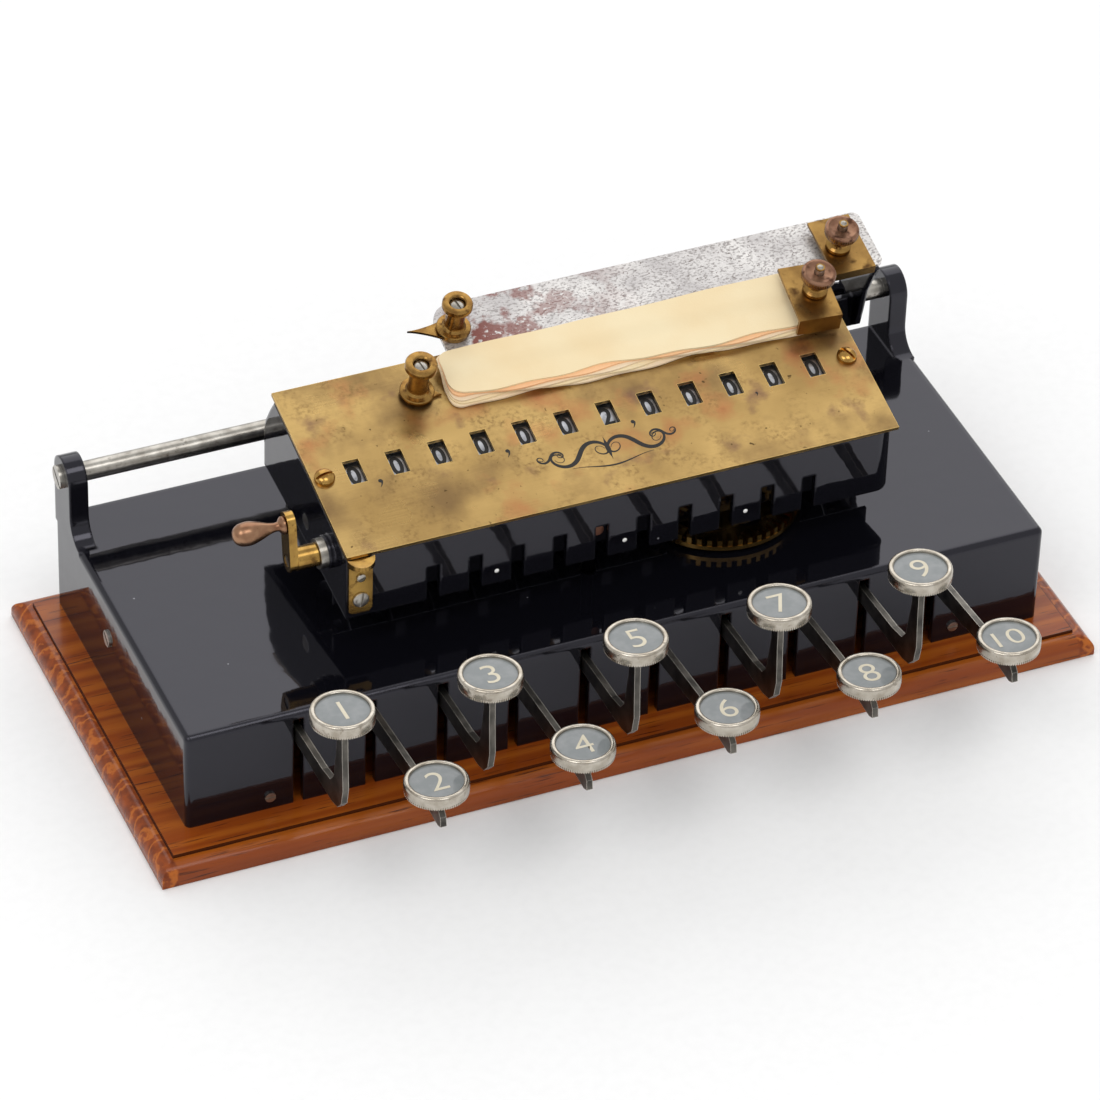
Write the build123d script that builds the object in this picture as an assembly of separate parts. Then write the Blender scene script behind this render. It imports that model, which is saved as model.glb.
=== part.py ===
"""Ten-key adding machine with a sliding carriage, in millimetres.

Every piece is drawn from the casing's front foot: y = 0 is the casing's front face,
z = 0 the top of the base board and x = 0 the casing's middle. save() moves it to the
shared frame, whose origin is the centre of the base board's underside.
"""
from build123d import *
import math
import os

# Base board
base_thick = 6.0
base_len = 253.0
base_deep = 113.0
base_front = -12.5
nose = 4.4
quirk = 0.8

# Casing
casing_half = 115.7
casing_deep = 95.2
casing_high = 28.6
casing_wall = 2.0
casing_round = 1.6
lug_thick = 5.0
lug_front = 83.8
lug_foot = 6.5
slot_wide = 2.6
slot_top = 26.4
foot_screws = ((-93.9, 3.9), (91.5, 4.1))
foot_screw_r = 0.9
pin_x = 1.0
pin_y = 26.2
pin_r = 1.5

# Rod
rod_r = 2.55
rod_y = 90.0
rod_z = 43.7

# Keys
key_count = 10
key_pitch = 19.0
key_first = -86.44
key_shaft_y = 56.3
key_shaft_z = 17.1
key_shaft_r = 1.5
lever_thick = 1.6
cap_r = 8.03
cap_high = 3.8
cap_tilt = -3.2
stem_r = 2.0
tall_key = (-29.0, 52.6)
low_key = (-42.4, 35.4)

# Carriage
wall = 1.8
left_end = -67.0
right_end = 81.0
front_y = 18.6
rear_y = 75.0
plate_corner = (-66.92, 18.23, 57.39)
plate_len = 148.55
plate_deep = 53.6
plate_thick = 1.0
plate_tilt = 14.62
wheel_count = 12
wheel_pitch = 11.27
window_v = 24.67
window_wide = 4.3
window_deep = 7.3
notch_first = -43.9
notch_wide = 3.5
notch_top = 48.0
notch_count = 10
baffle_y = 29.6
baffle_low = 33.6
baffle_high = 50.0
end_round = 4.5
boss_r = 4.3
boss_high = 1.6
cover_screw_us = (3.3, plate_len - 3.9)
cover_screw_r = 1.25

# Number wheels
wheel_r = 14.4
drum_wide = 6.4
pinion_wide = 2.0
wheel_shaft_r = 2.0
wheel_drop = 15.9

# Crown gear
gear_x = 42.1
gear_y = 40.2
gear_r = 21.8
gear_teeth = 52
gear_bottom = 1.2
gear_top = 4.2

# Crank
crank_y = 29.5
crank_z = 51.3
crank_arm_len = 10.3
crank_arm_half = 2.8
arm_outer = -78.4
arm_inner = -76.3
stud_r = 1.5
grip_pin_r = 1.0

# Finger tab
tab_x = -63.5
tab_half = 3.1
tab_thick = 1.0
tab_screws = ((50.9, 1.2, 0.9), (44.0, 2.1, 1.1))

# Sleeve and hinge
sleeve_left = -54.0
sleeve_right = 97.0
sleeve_r = 4.0
hinge_r = 6.2

# Note holders, at heights over the cover plate
note_h = 2.0
note_thick = 1.0
stud_hole_r = 1.25
note_stud_r = 1.2
front_knob = (142.0, 42.0)
rear_knob = (154.0, 54.5)
front_post = (34.7, 43.3)
rear_post = (49.7, 57.7)
front_base = 1.0
rear_base = 4.1
clamp_thick = 0.9
front_clamp_top = 6.9
rear_clamp_top = 6.0
front_clamp_turn = -4.0

bore_gap = 0.03
pin_hole_r = 1.5
shift = (0, -(base_front + base_deep / 2), base_thick)
os.makedirs("parts", exist_ok=True)


def save(name, shape):
    """Moves a piece to the shared frame and writes it."""
    moved = Pos(*shift) * shape
    solids = moved.solids()
    one = solids[0] if len(solids) == 1 else Compound(children=list(solids))
    one.label = name
    export_step(one, f"parts/{name}.step")


def box(x0, x1, y0, y1, z0, z1):
    """A box between two corners."""
    mid = ((x0 + x1) / 2, (y0 + y1) / 2, (z0 + z1) / 2)
    return Pos(*mid) * Box(x1 - x0, y1 - y0, z1 - z0)


def bar_x(x0, x1, y, z, r):
    """A round bar along X."""
    return Pos((x0 + x1) / 2, y, z) * Rot(0, 90, 0) * Cylinder(r, x1 - x0)


def bar_z(x, y, z0, z1, r):
    """A round bar along Z."""
    return Pos(x, y, (z0 + z1) / 2) * Cylinder(r, z1 - z0)


def bar_y(x, y0, y1, z, r):
    """A round bar along Y."""
    return Pos(x, (y0 + y1) / 2, z) * Rot(90, 0, 0) * Cylinder(r, y1 - y0)


def side_plate(x0, x1, points):
    """A plate between x0 and x1, cut to a closed outline of (y, z) points."""
    outline = Plane.YZ.offset(x0) * make_face(Polyline(*points, close=True))
    return extrude(outline, x1 - x0, dir=(1, 0, 0))


def turned(points):
    """A piece turned about Z, from (radius, height) points, closed along the axis."""
    full = [(0, points[0][1])] + list(points) + [(0, points[-1][1])]
    outline = Plane.XZ * make_face(Polyline(*full, close=True))
    return revolve(outline, Axis.Z)


# The cover plate's own frame: u to the right from its left edge, v up its slope from
# its front edge, h out of its top face.
cover = Plane(
    origin=plate_corner,
    x_dir=(1, 0, 0),
    z_dir=(0, -math.sin(math.radians(plate_tilt)), math.cos(math.radians(plate_tilt))),
)


def on_cover(u, v, h=0.0):
    """Location of a point of the cover plate's frame."""
    return cover.location * Pos(u, v, h)


def cover_box(u0, u1, v0, v1, h0, h1):
    """A box lying square to the cover plate."""
    return cover.location * box(u0, u1, v0, v1, h0, h1)


def cover_point(v, h):
    """(y, z) of a point at slope distance v and height h over the cover plate."""
    c = math.cos(math.radians(plate_tilt))
    s = math.sin(math.radians(plate_tilt))
    return (plate_corner[1] + v * c - h * s, plate_corner[2] + v * s + h * c)


# ---------------------------------------------------------------- base board
def wood_base():
    x1 = base_len / 2
    y1 = base_front + base_deep
    low = box(-x1, x1, base_front, y1, -base_thick, -quirk)
    low = fillet(low.faces().sort_by(Axis.Z)[-1].edges(), nose * 0.8)
    top = box(-x1 + nose, x1 - nose, base_front + nose, y1 - nose, -base_thick + 1, 0)
    return low + top


save("wood_base", wood_base())


# ---------------------------------------------------------------- casing
def slot_x(i):
    return key_first + key_pitch * i


def casing_lug(side):
    """Rounded lug that holds the rod, flowing into the casing's top at its front."""
    x = side * (casing_half - lug_thick / 2)
    x0 = x - lug_thick / 2
    x1 = x + lug_thick / 2
    top_r = (casing_deep - lug_front) / 2
    foot_y = lug_front - lug_foot
    foot_z = casing_high + lug_foot
    inside_top = casing_high - casing_wall
    web = box(x0, x1, foot_y, casing_deep, inside_top, rod_z)
    web = web - box(x0 - 1, x1 + 1, foot_y - 1, lug_front, foot_z, rod_z + 1)
    web = web - bar_x(x0 - 1, x1 + 1, foot_y, foot_z, lug_foot)
    return web + bar_x(x0, x1, lug_front + top_r, rod_z, top_r)


def casing():
    t = casing_wall
    body = box(-casing_half, casing_half, 0, casing_deep, 0, casing_high)
    long_edges = body.edges().filter_by(GeomType.LINE)
    upper = long_edges.filter_by(lambda e: e.center().Z > 1)
    body = fillet(upper, casing_round)
    inside = box(-casing_half + t, casing_half - t, t, casing_deep - t, -1, casing_high - t)
    body = body - inside
    for i in range(key_count):
        x = slot_x(i)
        body = body - box(x - slot_wide / 2, x + slot_wide / 2, -1, t + 1, -1, slot_top)
    for side in (-1, 1):
        end = side * casing_half
        body = body + casing_lug(side)
        body = body - bar_x(end - 6, end + 6, rod_y, rod_z, rod_r + bore_gap)
        body = body - bar_x(end - 3, end + 3, key_shaft_y, key_shaft_z, key_shaft_r + bore_gap)
    for x, z in foot_screws:
        body = body - bar_y(x, -1, t + 1, z, foot_screw_r + bore_gap)
    for x, y in ((gear_x, gear_y), (pin_x, pin_y)):
        body = body - bar_z(x, y, casing_high - t - 1, casing_high + 1, pin_r + bore_gap)
    return body


save("casing", casing())
save("rod", bar_x(-casing_half, casing_half, rod_y, rod_z, rod_r))


def x_screw(side, y, z, head_r, head_high, shank_r, depth):
    """A slotted screw whose head stands on the casing's end."""
    x = side * casing_half
    out = x + side * head_high
    head = bar_x(min(x, out), max(x, out), y, z, head_r)
    head = head - Pos(out, y, z) * Rot(35, 0, 0) * Box(1.0, head_r * 3, 0.7)
    if depth:
        end = x - side * depth
        head = head + bar_x(min(x, end), max(x, end), y, z, shank_r)
    return head


def casing_screws():
    screws = []
    for side in (-1, 1):
        screws.append(x_screw(side, key_shaft_y, key_shaft_z, 2.2, 0.5, key_shaft_r, casing_wall))
        screws.append(x_screw(side, rod_y, rod_z, 3.1, 1.2, 0, 0))
    for x, z in foot_screws:
        head = bar_y(x, -0.6, 0, z, 1.4) - Pos(x, -0.6, z) * Box(4, 0.5, 0.4)
        screws.append(head + bar_y(x, 0, casing_wall, z, foot_screw_r))
    return Compound(children=screws)


save("casing_screws", casing_screws())
shaft_half = casing_half - casing_wall
save("key_shaft", bar_x(-shaft_half, shaft_half, key_shaft_y, key_shaft_z, key_shaft_r))


def gear_arbor():
    z = casing_high
    stud = bar_z(gear_x, gear_y, z - casing_wall, z + 2.95, 1.5)
    washer = bar_z(gear_x, gear_y, z, z + gear_bottom - 0.1, 4.0)
    head = bar_z(gear_x, gear_y, z + 2.95, z + 3.9, 2.9)
    return stud + washer + head - Pos(gear_x, gear_y, z + 3.9) * Box(7, 0.7, 0.8)


def locating_pin():
    """Post with a cross nose that stands just behind the housing's front wall."""
    post = bar_z(pin_x, pin_y, casing_high - casing_wall, 47.0, pin_r)
    post = post + bar_z(pin_x, pin_y, casing_high, casing_high + 0.6, 2.2)
    post = post + bar_z(pin_x, pin_y, 43.2, 47.0, 2.0)
    nose_front = front_y + wall + 0.35
    return post + bar_y(pin_x, nose_front, pin_y + 0.8, 45.1, 1.55)


save("gear_arbor", gear_arbor())
save("locating_pin", locating_pin())


# ---------------------------------------------------------------- keys
def lever(i):
    """Steel strip on edge: a boss on the shaft, a straight run and a bent-up stem."""
    x = slot_x(i)
    if i % 2 == 0:
        cap_y, cap_z = tall_key
        top = cap_z - cap_high
        points = [
            (60.5, 13.6),
            (60.5, 19.8),
            (-18.0, 25.1),
            (-23.4, 26.2),
            (-25.6, 29.0),
            (cap_y + 1.6, 40.0),
            (cap_y + 1.6, top - 0.2),
            (cap_y - 1.6, top - 0.2),
            (cap_y - 2.0, 38.0),
            (-31.6, 29.0),
            (-30.6, 24.0),
            (-28.2, 21.2),
            (-24.6, 20.2),
            (0.0, 19.4),
        ]
    else:
        cap_y, cap_z = low_key
        top = cap_z - cap_high
        points = [
            (60.5, 13.6),
            (60.5, 19.8),
            (2.0, 24.9),
            (-38.0, 28.6),
            (cap_y + 1.8, 30.0),
            (cap_y + 1.8, top - 0.2),
            (cap_y - 1.8, top - 0.2),
            (cap_y - 2.2, 29.5),
            (-47.0, 27.0),
            (-47.4, 24.4),
            (-45.6, 23.6),
            (-39.0, 24.0),
            (0.0, 19.4),
        ]
    half = lever_thick / 2
    strip = side_plate(x - half, x + half, points)
    boss = bar_x(x - half - 1.2, x + half + 1.2, key_shaft_y, key_shaft_z, 4.2)
    return strip + boss - bar_x(x - 5, x + 5, key_shaft_y, key_shaft_z, key_shaft_r + 0.05)


def cap(i):
    """Shallow rimmed cup with a socket that fits on the lever's stem."""
    cap_y, cap_z = tall_key if i % 2 == 0 else low_key
    cup = turned(
        [
            (stem_r + 1.0, -cap_high - 0.6),
            (stem_r + 1.4, -cap_high + 0.2),
            (cap_r - 1.6, -cap_high + 0.3),
            (cap_r - 0.5, -cap_high + 0.7),
            (cap_r - 0.5, -cap_high + 1.2),
            (cap_r, -cap_high + 1.5),
            (cap_r, -0.5),
            (cap_r - 0.4, 0.0),
            (cap_r - 1.1, 0.0),
            (cap_r - 1.3, -0.55),
        ]
    )
    x = slot_x(i)
    placed = Pos(x, cap_y, cap_z) * Rot(cap_tilt, 0, 0) * cup
    return placed - lever(i)


for i in range(key_count):
    save(f"key_{i + 1:02d}_lever", lever(i))
    save(f"key_{i + 1:02d}_cap", cap(i))


# ---------------------------------------------------------------- sleeve and carriage
sleeve = bar_x(sleeve_left, sleeve_right, rod_y, rod_z, sleeve_r)
save("carriage_sleeve", sleeve - bar_x(sleeve_left - 1, sleeve_right + 1, rod_y, rod_z, rod_r + 0.06))


def under_cover(y):
    """Height of the cover plate's underside over a place."""
    front, high = cover_point(0, -plate_thick)
    return high + (y - front) * math.tan(math.radians(plate_tilt))


def housing_corner():
    """Filler behind the rounded front right corner, which keeps its wall thick."""
    x1 = right_end - wall + 0.4
    y0 = front_y + 1
    low = 38.8
    high = 56.2
    block = box(x1 - 5.1, x1, y0, y0 + 5.4, low, high)
    block = block - box(x1 - 9, x1 - 2.9, y0 - 5, y0 + 3.3, low - 1, high + 1)
    return block - bar_z(x1 - 2.9, y0 + 3.3, low - 1, high + 1, 2.7)


def carriage_housing():
    outer = [
        (front_y, 38.0),
        (58.0, 43.6),
        (rear_y, 45.2),
        (rear_y, 56.0),
        (74.0, 59.8),
        (70.8, 65.3),
        (68.0, under_cover(68.0)),
        (front_y, under_cover(front_y)),
    ]
    inner = [
        (front_y + wall, 30.0),
        (rear_y - wall, 30.0),
        (rear_y - wall, 55.8),
        (72.2, 59.2),
        (69.2, 64.4),
        (66.0, 90.0),
        (front_y + wall, 90.0),
    ]
    body = side_plate(left_end, right_end, outer)
    corner = body.edges().filter_by(Axis.Z).sort_by(Axis.Y)[:2].sort_by(Axis.X)[-1]
    body = fillet(corner, end_round)
    body = body - side_plate(left_end + wall, right_end - wall, inner)
    body = body + housing_corner()
    body = body + box(left_end + 1, right_end - 1, baffle_y, baffle_y + 1, baffle_low, baffle_high)
    body = body + bar_x(left_end - boss_high, left_end + 0.5, crank_y, crank_z, boss_r)
    for i in range(notch_count):
        x0 = notch_first + wheel_pitch * i - notch_wide / 2
        body = body - box(x0, x0 + notch_wide, front_y - 1, front_y + wall + 0.5, 30, notch_top)
    y, z = cover_point(window_v, -wheel_drop)
    body = body - bar_x(left_end - 1, right_end + 1, y, z, wheel_shaft_r + bore_gap)
    body = body - bar_x(left_end - 3, left_end + wall + 1, crank_y, crank_z, stud_r + bore_gap)
    for z, _, shank_r in tab_screws:
        body = body - bar_y(tab_x, front_y - 1, front_y + wall + 1, z, shank_r + bore_gap)
    return body


save("carriage_housing", carriage_housing())


def wheel_shaft():
    y, z = cover_point(window_v, -wheel_drop)
    return bar_x(left_end, right_end + 0.6, y, z, wheel_shaft_r)


save("wheel_shaft", wheel_shaft())


def ring(x0, x1, r_out, r_in):
    tube = bar_x(x0, x1, rod_y, rod_z, r_out)
    return tube - bar_x(x0 - 1, x1 + 1, rod_y, rod_z, r_in)


def hinge_bracket():
    strip = box(-53.0, 96.7, rear_y, rear_y + 1.6, 46.0, 55.4)
    foot = [
        (rear_y, 46.0),
        (rear_y, 55.4),
        (80.0, 55.0),
        (rod_y, rod_z + 5.0),
        (rod_y, rod_z - 5.0),
        (84.0, 41.2),
    ]
    left_arm = side_plate(-53.0, -51.4, foot)
    horn = [
        cover_point(47.6, 1.95),
        (66.3, 67.5),
        (69.9, 60.0),
        (71.2, 54.1),
        (72.9, 47.7),
        (75.9, 45.5),
        (84.0, 41.2),
        (rod_y, rod_z - 5.6),
        (rod_y, rod_z + 5.6),
        (83.6, 54.0),
        (81.0, 62.0),
        cover_point(62.0, 1.95),
    ]
    right_arm = side_plate(95.2, 96.7, horn)
    body = strip + left_arm + right_arm
    body = body + ring(-53.0, -48.0, hinge_r, sleeve_r) + ring(91.7, 96.7, hinge_r, sleeve_r)
    return body - bar_x(-60, 100, rod_y, rod_z, sleeve_r + 0.06)


save("hinge_bracket", hinge_bracket())


def cover_plate():
    plate = cover_box(0, plate_len, 0, plate_deep, -plate_thick, 0)
    for i in range(wheel_count):
        u = wheel_pitch * (i + 1)
        plate = plate - cover_box(
            u - window_wide / 2,
            u + window_wide / 2,
            window_v - window_deep / 2,
            window_v + window_deep / 2,
            -3,
            1,
        )
    for u in cover_screw_us:
        plate = plate - on_cover(u, window_v) * Cylinder(cover_screw_r + bore_gap, 4)
    return plate - on_cover(*front_post) * Cylinder(pin_hole_r, 4)


save("cover_plate", cover_plate())


def slotted_head(r, high, turn):
    """Round-headed screw head standing on h = 0."""
    head = turned([(r, 0.0), (r, high * 0.4), (r * 0.75, high * 0.8), (r * 0.3, high)])
    return head - Pos(0, 0, high) * Rot(0, 0, turn) * Box(r * 3, 0.7, high * 0.9)


def carriage_screws():
    screws = []
    for u, turn in zip(cover_screw_us, (50, 65)):
        shank = Pos(0, 0, -0.75) * Cylinder(cover_screw_r, 1.5)
        screws.append(on_cover(u, window_v) * (slotted_head(2.8, 1.5, turn) + shank))
    tab_face = front_y - tab_thick
    for z, head_r, shank_r in tab_screws:
        head = bar_y(tab_x, tab_face - 0.9, tab_face, z, head_r)
        head = head - Pos(tab_x, tab_face - 0.9, z) * Rot(0, 30, 0) * Box(head_r * 3, 0.8, 0.5)
        screws.append(head + bar_y(tab_x, tab_face, front_y + wall, z, shank_r))
    for place, h in ((front_post, front_base + 9.6), (rear_post, rear_base + 8.5)):
        screws.append(on_cover(*place, h) * slotted_head(1.9, 0.9, 100))
    return Compound(children=screws)


save("carriage_screws", carriage_screws())


def finger_tab():
    """Brass strip with a half-round dished lip, to pull the carriage by."""
    face = front_y - tab_thick
    strip = box(tab_x - tab_half, tab_x + tab_half, face, front_y, 39.9, 56.2)
    strip = chamfer(strip.edges().filter_by(Axis.Y), 0.9)
    lip = bar_z(tab_x, front_y - 0.6, 55.1, 56.9, 3.6) - box(-80, -50, face, 30, 50, 60)
    dish = Pos(tab_x, front_y - 2.6, 66.2) * Sphere(10.0)
    tab = strip + lip - dish
    for z, _, shank_r in tab_screws:
        tab = tab - bar_y(tab_x, 0, 30, z, shank_r + bore_gap)
    return tab


save("finger_tab", finger_tab())


# ---------------------------------------------------------------- crank
def crank_collar():
    """Steel washer against the housing's boss, and the stud that the crank turns on."""
    seat = left_end - boss_high
    washer = bar_x(seat - 2.0, seat, crank_y, crank_z, 3.9)
    return washer + bar_x(arm_outer + 0.2, left_end + wall, crank_y, crank_z, stud_r)


def crank_arm():
    half = crank_arm_half
    top = crank_z + crank_arm_len + 0.6
    slab = box(arm_outer, arm_inner, crank_y - half, crank_y + half, crank_z, top)
    sleeve_part = bar_x(arm_inner, left_end - boss_high - 2.1, crank_y, crank_z, 3.0)
    arm = slab + sleeve_part
    for z in (crank_z, top):
        arm = arm + bar_x(arm_outer, arm_inner, crank_y, z, half)
    arm = arm - bar_x(arm_outer - 1, left_end, crank_y, crank_z, stud_r + 0.06)
    return arm - bar_x(-90, -60, crank_y, crank_z + crank_arm_len, grip_pin_r + bore_gap)


def crank_handle():
    """Turned grip, riveted into the arm's end."""
    pear = turned(
        [
            (grip_pin_r, arm_outer - arm_inner),
            (grip_pin_r, 0.0),
            (2.3, 0.0),
            (2.3, 0.9),
            (1.5, 1.6),
            (1.2, 2.7),
            (1.6, 4.4),
            (2.4, 6.6),
            (2.95, 8.8),
            (3.0, 10.4),
            (2.6, 12.0),
            (1.8, 13.0),
            (0.8, 13.5),
        ]
    )
    return Pos(arm_outer, crank_y, crank_z + crank_arm_len) * Rot(0, -90, 0) * pear


def turn_crank(shape):
    """The crank stands leaning a little back from upright."""
    return shape.rotate(Axis((0, crank_y, crank_z), (1, 0, 0)), -8)


save("crank_collar", crank_collar())
save("crank_arm", turn_crank(crank_arm()))
save("crank_handle", turn_crank(crank_handle()))


# ---------------------------------------------------------------- number wheels
def number_wheel(i):
    """Drum for ten digits and a ten-tooth pinion beside it."""
    y, z = cover_point(window_v, -wheel_drop)
    x = plate_corner[0] + wheel_pitch * (i + 1)
    drum = bar_x(x - drum_wide / 2, x + drum_wide / 2, y, z, wheel_r)
    drum = chamfer(drum.edges().filter_by(GeomType.CIRCLE), 0.3)
    dish = bar_x(x - drum_wide / 2 - 1, x - drum_wide / 2 + 1.6, y, z, wheel_r - 2.4)
    hub = bar_x(x - drum_wide / 2 - 0.6, x + drum_wide / 2, y, z, 4.0)
    x0 = x + drum_wide / 2
    pinion = bar_x(x0 - 0.5, x0 + pinion_wide, y, z, wheel_r - 3.4)
    for k in range(10):
        tooth = box(x0 - 0.5, x0 + pinion_wide, y - 1.3, y + 1.3, z, z + wheel_r - 0.2)
        pinion = pinion + tooth.rotate(Axis((0, y, z), (1, 0, 0)), 36 * k + 18)
    wheel = drum - dish + hub + pinion
    return wheel - bar_x(x - 20, x + 20, y, z, wheel_shaft_r + 0.05)


for i in range(wheel_count):
    save(f"number_wheel_{i + 1:02d}", number_wheel(i))


# ---------------------------------------------------------------- crown gear
def crown_gear():
    z0 = casing_high + gear_bottom
    z1 = casing_high + gear_top
    rim_in = gear_r - 3.4
    body = bar_z(0, 0, z0, z1 - 1.8, gear_r) - bar_z(0, 0, z0 + 0.9, z1 + 1, rim_in)
    root = 2 * math.pi * gear_r / gear_teeth
    for k in range(gear_teeth):
        turn = 360 / gear_teeth * k
        tooth = Pos((gear_r + rim_in) / 2, 0, z1 - 1.0) * Box(gear_r - rim_in - 0.2, root * 0.45, 2.0)
        body = body + Rot(0, 0, turn) * tooth
    for k in range(5):
        hole = Pos(11.5, 0, z0) * Cylinder(4.0, 6)
        body = body - Rot(0, 0, 72 * k) * hole
    body = body + bar_z(0, 0, z0, casing_high + 2.85, 4.0)
    return Pos(gear_x, gear_y, 0) * (body - bar_z(0, 0, z0 - 1, z1 + 1, 1.55))


save("crown_gear", crown_gear())


# ---------------------------------------------------------------- note holders
def note_plate():
    plate = cover_box(46.0, 165.0, 48.5, 66.5, note_h, note_h + note_thick)
    upright = plate.edges().filter_by(lambda e: abs(e.length - note_thick) < 1e-3)
    corner = upright.sort_by(Axis.X)[:2].sort_by(Axis.Y)[-1]
    plate = fillet(corner, 6.0)
    other = plate.edges().filter_by(lambda e: abs(e.length - note_thick) < 1e-3)
    plate = fillet(other.sort_by(Axis.X)[-2:], 2.0)
    hem = cover_box(56.0, 142.0, 50.2, plate_deep - 0.2, 0, note_h)
    plate = plate + hem
    for place in (rear_post, rear_knob):
        plate = plate - on_cover(*place) * Cylinder(stud_hole_r, 12)
    return plate


def paper_pad():
    """Stack of slips, wider at the clamp; its rear edge lies on the note plate."""
    outline = [
        (41.5, 39.5),
        (43.5, 37.2),
        (70.0, 36.6),
        (100.0, 35.6),
        (128.0, 34.9),
        (147.0, 34.5),
        (147.0, 47.9),
        (44.5, 47.9),
        (41.5, 46.0),
    ]
    slips = cover.location * extrude(make_face(Polyline(*outline, close=True)), 3.0)
    bed = note_h + note_thick
    over = cover_box(44.5, 147.0, 46.0, 52.0, bed, bed + 0.8)
    step = cover_box(44.5, 147.0, 46.0, 47.9, 2.5, bed + 0.8)
    return slips + step + over - on_cover(*front_knob) * Cylinder(stud_hole_r, 16)


def clamp(knob, left, right, front, back, top, fold, packing, turn=0.0):
    """Folded strip on a packing block, its sizes measured from its stud."""
    t = clamp_thick
    body = box(-left, right, -front, back, top - t, top)
    body = body + box(-left, right, -front, -front + t, fold, top)
    body = Rot(0, 0, turn) * body
    body = body + box(-3.2, 3.2, -3.0, 3.0, packing, top - t)
    stud = Pos(0, 0, (packing - 1 + top + 9.3) / 2) * Cylinder(note_stud_r, top + 9.3 - packing + 1)
    return on_cover(*knob) * (body + stud)


def rear_clamp():
    return clamp(rear_knob, 4.5, 7.0, 8.5, 9.5, rear_clamp_top, 3.4, note_h + note_thick)


def front_clamp():
    packing = note_h + note_thick + 0.8
    top = front_clamp_top
    return clamp(front_knob, 7.0, 4.5, 8.9, 8.8, top, 1.4, packing, front_clamp_turn)


def flanged_knob():
    """Knurled knob: two flanges and a waist, bored for its stud."""
    body = turned(
        [
            (3.2, 0.0),
            (3.2, 1.2),
            (2.3, 1.9),
            (2.1, 3.2),
            (2.6, 4.6),
            (4.2, 5.2),
            (4.4, 5.7),
            (4.4, 7.0),
            (4.0, 7.5),
        ]
    )
    return body - Cylinder(1.26, 30)


def post(high, flange):
    """Turned post: a base flange, a neck and a recessed top flange."""
    body = turned(
        [
            (4.4, 0.0),
            (4.4, 0.8),
            (2.9, 1.6),
            (2.5, 2.6),
            (2.5, high - 2.9),
            (2.9, high - 2.3),
            (flange, high - 1.9),
            (flange, high - 0.2),
            (flange - 0.2, high),
        ]
    )
    return body - Pos(0, 0, high) * Cylinder(2.0, 3.6)


def pivot_pin(z0, z1):
    return Pos(0, 0, (z0 + z1) / 2) * Cylinder(note_stud_r, z1 - z0)


def pointer(h, thick, length, direction, half):
    """Flat pointer that turns on a post's pin."""
    tip = make_face(Polyline((-half * 0.2, -half), (length, 0), (-half * 0.2, half), close=True))
    blade = extrude(tip, thick) + Pos(0, 0, thick / 2) * Cylinder(half, thick)
    return Pos(0, 0, h) * Rot(0, 0, direction) * (blade - Cylinder(note_stud_r + 0.07, 10))


save("note_plate", note_plate())
save("paper_pad", paper_pad())
save("rear_clamp", rear_clamp())
save("front_clamp", front_clamp())
save("rear_knob", on_cover(*rear_knob, rear_clamp_top + 0.1) * flanged_knob())
save("front_knob", on_cover(*front_knob, front_clamp_top + 0.1) * flanged_knob())

front_turning = Pos(0, 0, front_base) * post(11.4, 4.1)
front_turning = front_turning + pivot_pin(-plate_thick, front_base + 1.0)
save("front_post", on_cover(*front_post) * front_turning)
rear_turning = Pos(0, 0, rear_base) * post(10.3, 3.9)
rear_turning = rear_turning + pivot_pin(note_h, rear_base + 1.0)
save("rear_post", on_cover(*rear_post) * rear_turning)
save("rear_pointer", on_cover(*rear_post) * pointer(note_h + note_thick + 0.1, 0.8, 11.7, 168.0, 4.2))
save("front_pointer", on_cover(*front_post) * pointer(0.1, 0.8, 6.4, -20.0, 3.6))
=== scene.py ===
"""Looks of the ten-key adding machine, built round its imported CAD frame.

Lengths are in millimetres until mm() turns them to the frame's metres. Places come from
the CAD nodes' boxes and from the cover plate's own frame: u along it to the right, v up
its slope, h out of its top face.
"""

import math

import bmesh
import bpy
from mathutils import Matrix, Vector


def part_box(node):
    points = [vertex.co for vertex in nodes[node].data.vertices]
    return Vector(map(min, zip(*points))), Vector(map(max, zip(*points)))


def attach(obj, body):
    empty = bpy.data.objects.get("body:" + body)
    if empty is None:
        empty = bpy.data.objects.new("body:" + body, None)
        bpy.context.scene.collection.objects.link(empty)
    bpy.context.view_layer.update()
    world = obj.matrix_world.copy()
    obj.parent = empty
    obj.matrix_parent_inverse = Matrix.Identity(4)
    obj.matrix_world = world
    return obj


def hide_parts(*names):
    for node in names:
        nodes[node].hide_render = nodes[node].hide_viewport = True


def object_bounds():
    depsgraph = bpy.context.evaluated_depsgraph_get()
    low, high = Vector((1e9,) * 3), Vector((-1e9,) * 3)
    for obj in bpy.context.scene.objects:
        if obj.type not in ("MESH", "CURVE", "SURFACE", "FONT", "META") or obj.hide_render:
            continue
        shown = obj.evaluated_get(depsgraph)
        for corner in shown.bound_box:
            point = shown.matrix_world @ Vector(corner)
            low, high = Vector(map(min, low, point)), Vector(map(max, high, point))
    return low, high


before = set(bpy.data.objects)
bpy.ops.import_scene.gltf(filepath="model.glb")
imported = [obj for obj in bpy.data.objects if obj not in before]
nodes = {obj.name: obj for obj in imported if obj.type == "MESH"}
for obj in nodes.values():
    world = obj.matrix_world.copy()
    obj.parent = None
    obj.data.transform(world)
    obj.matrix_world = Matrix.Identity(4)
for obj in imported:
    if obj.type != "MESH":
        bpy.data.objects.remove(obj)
cad_low, cad_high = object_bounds()

MM = 0.001
PLATE_TILT = math.radians(14.62)
PLATE_DEEP = 53.6
WHEEL_PITCH = 11.27
WHEEL_COUNT = 12
WINDOW_V = 24.67
KEY_COUNT = 10
CAP_TILT = math.radians(-3.2)
CAP_RADIUS = 8.03


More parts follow.
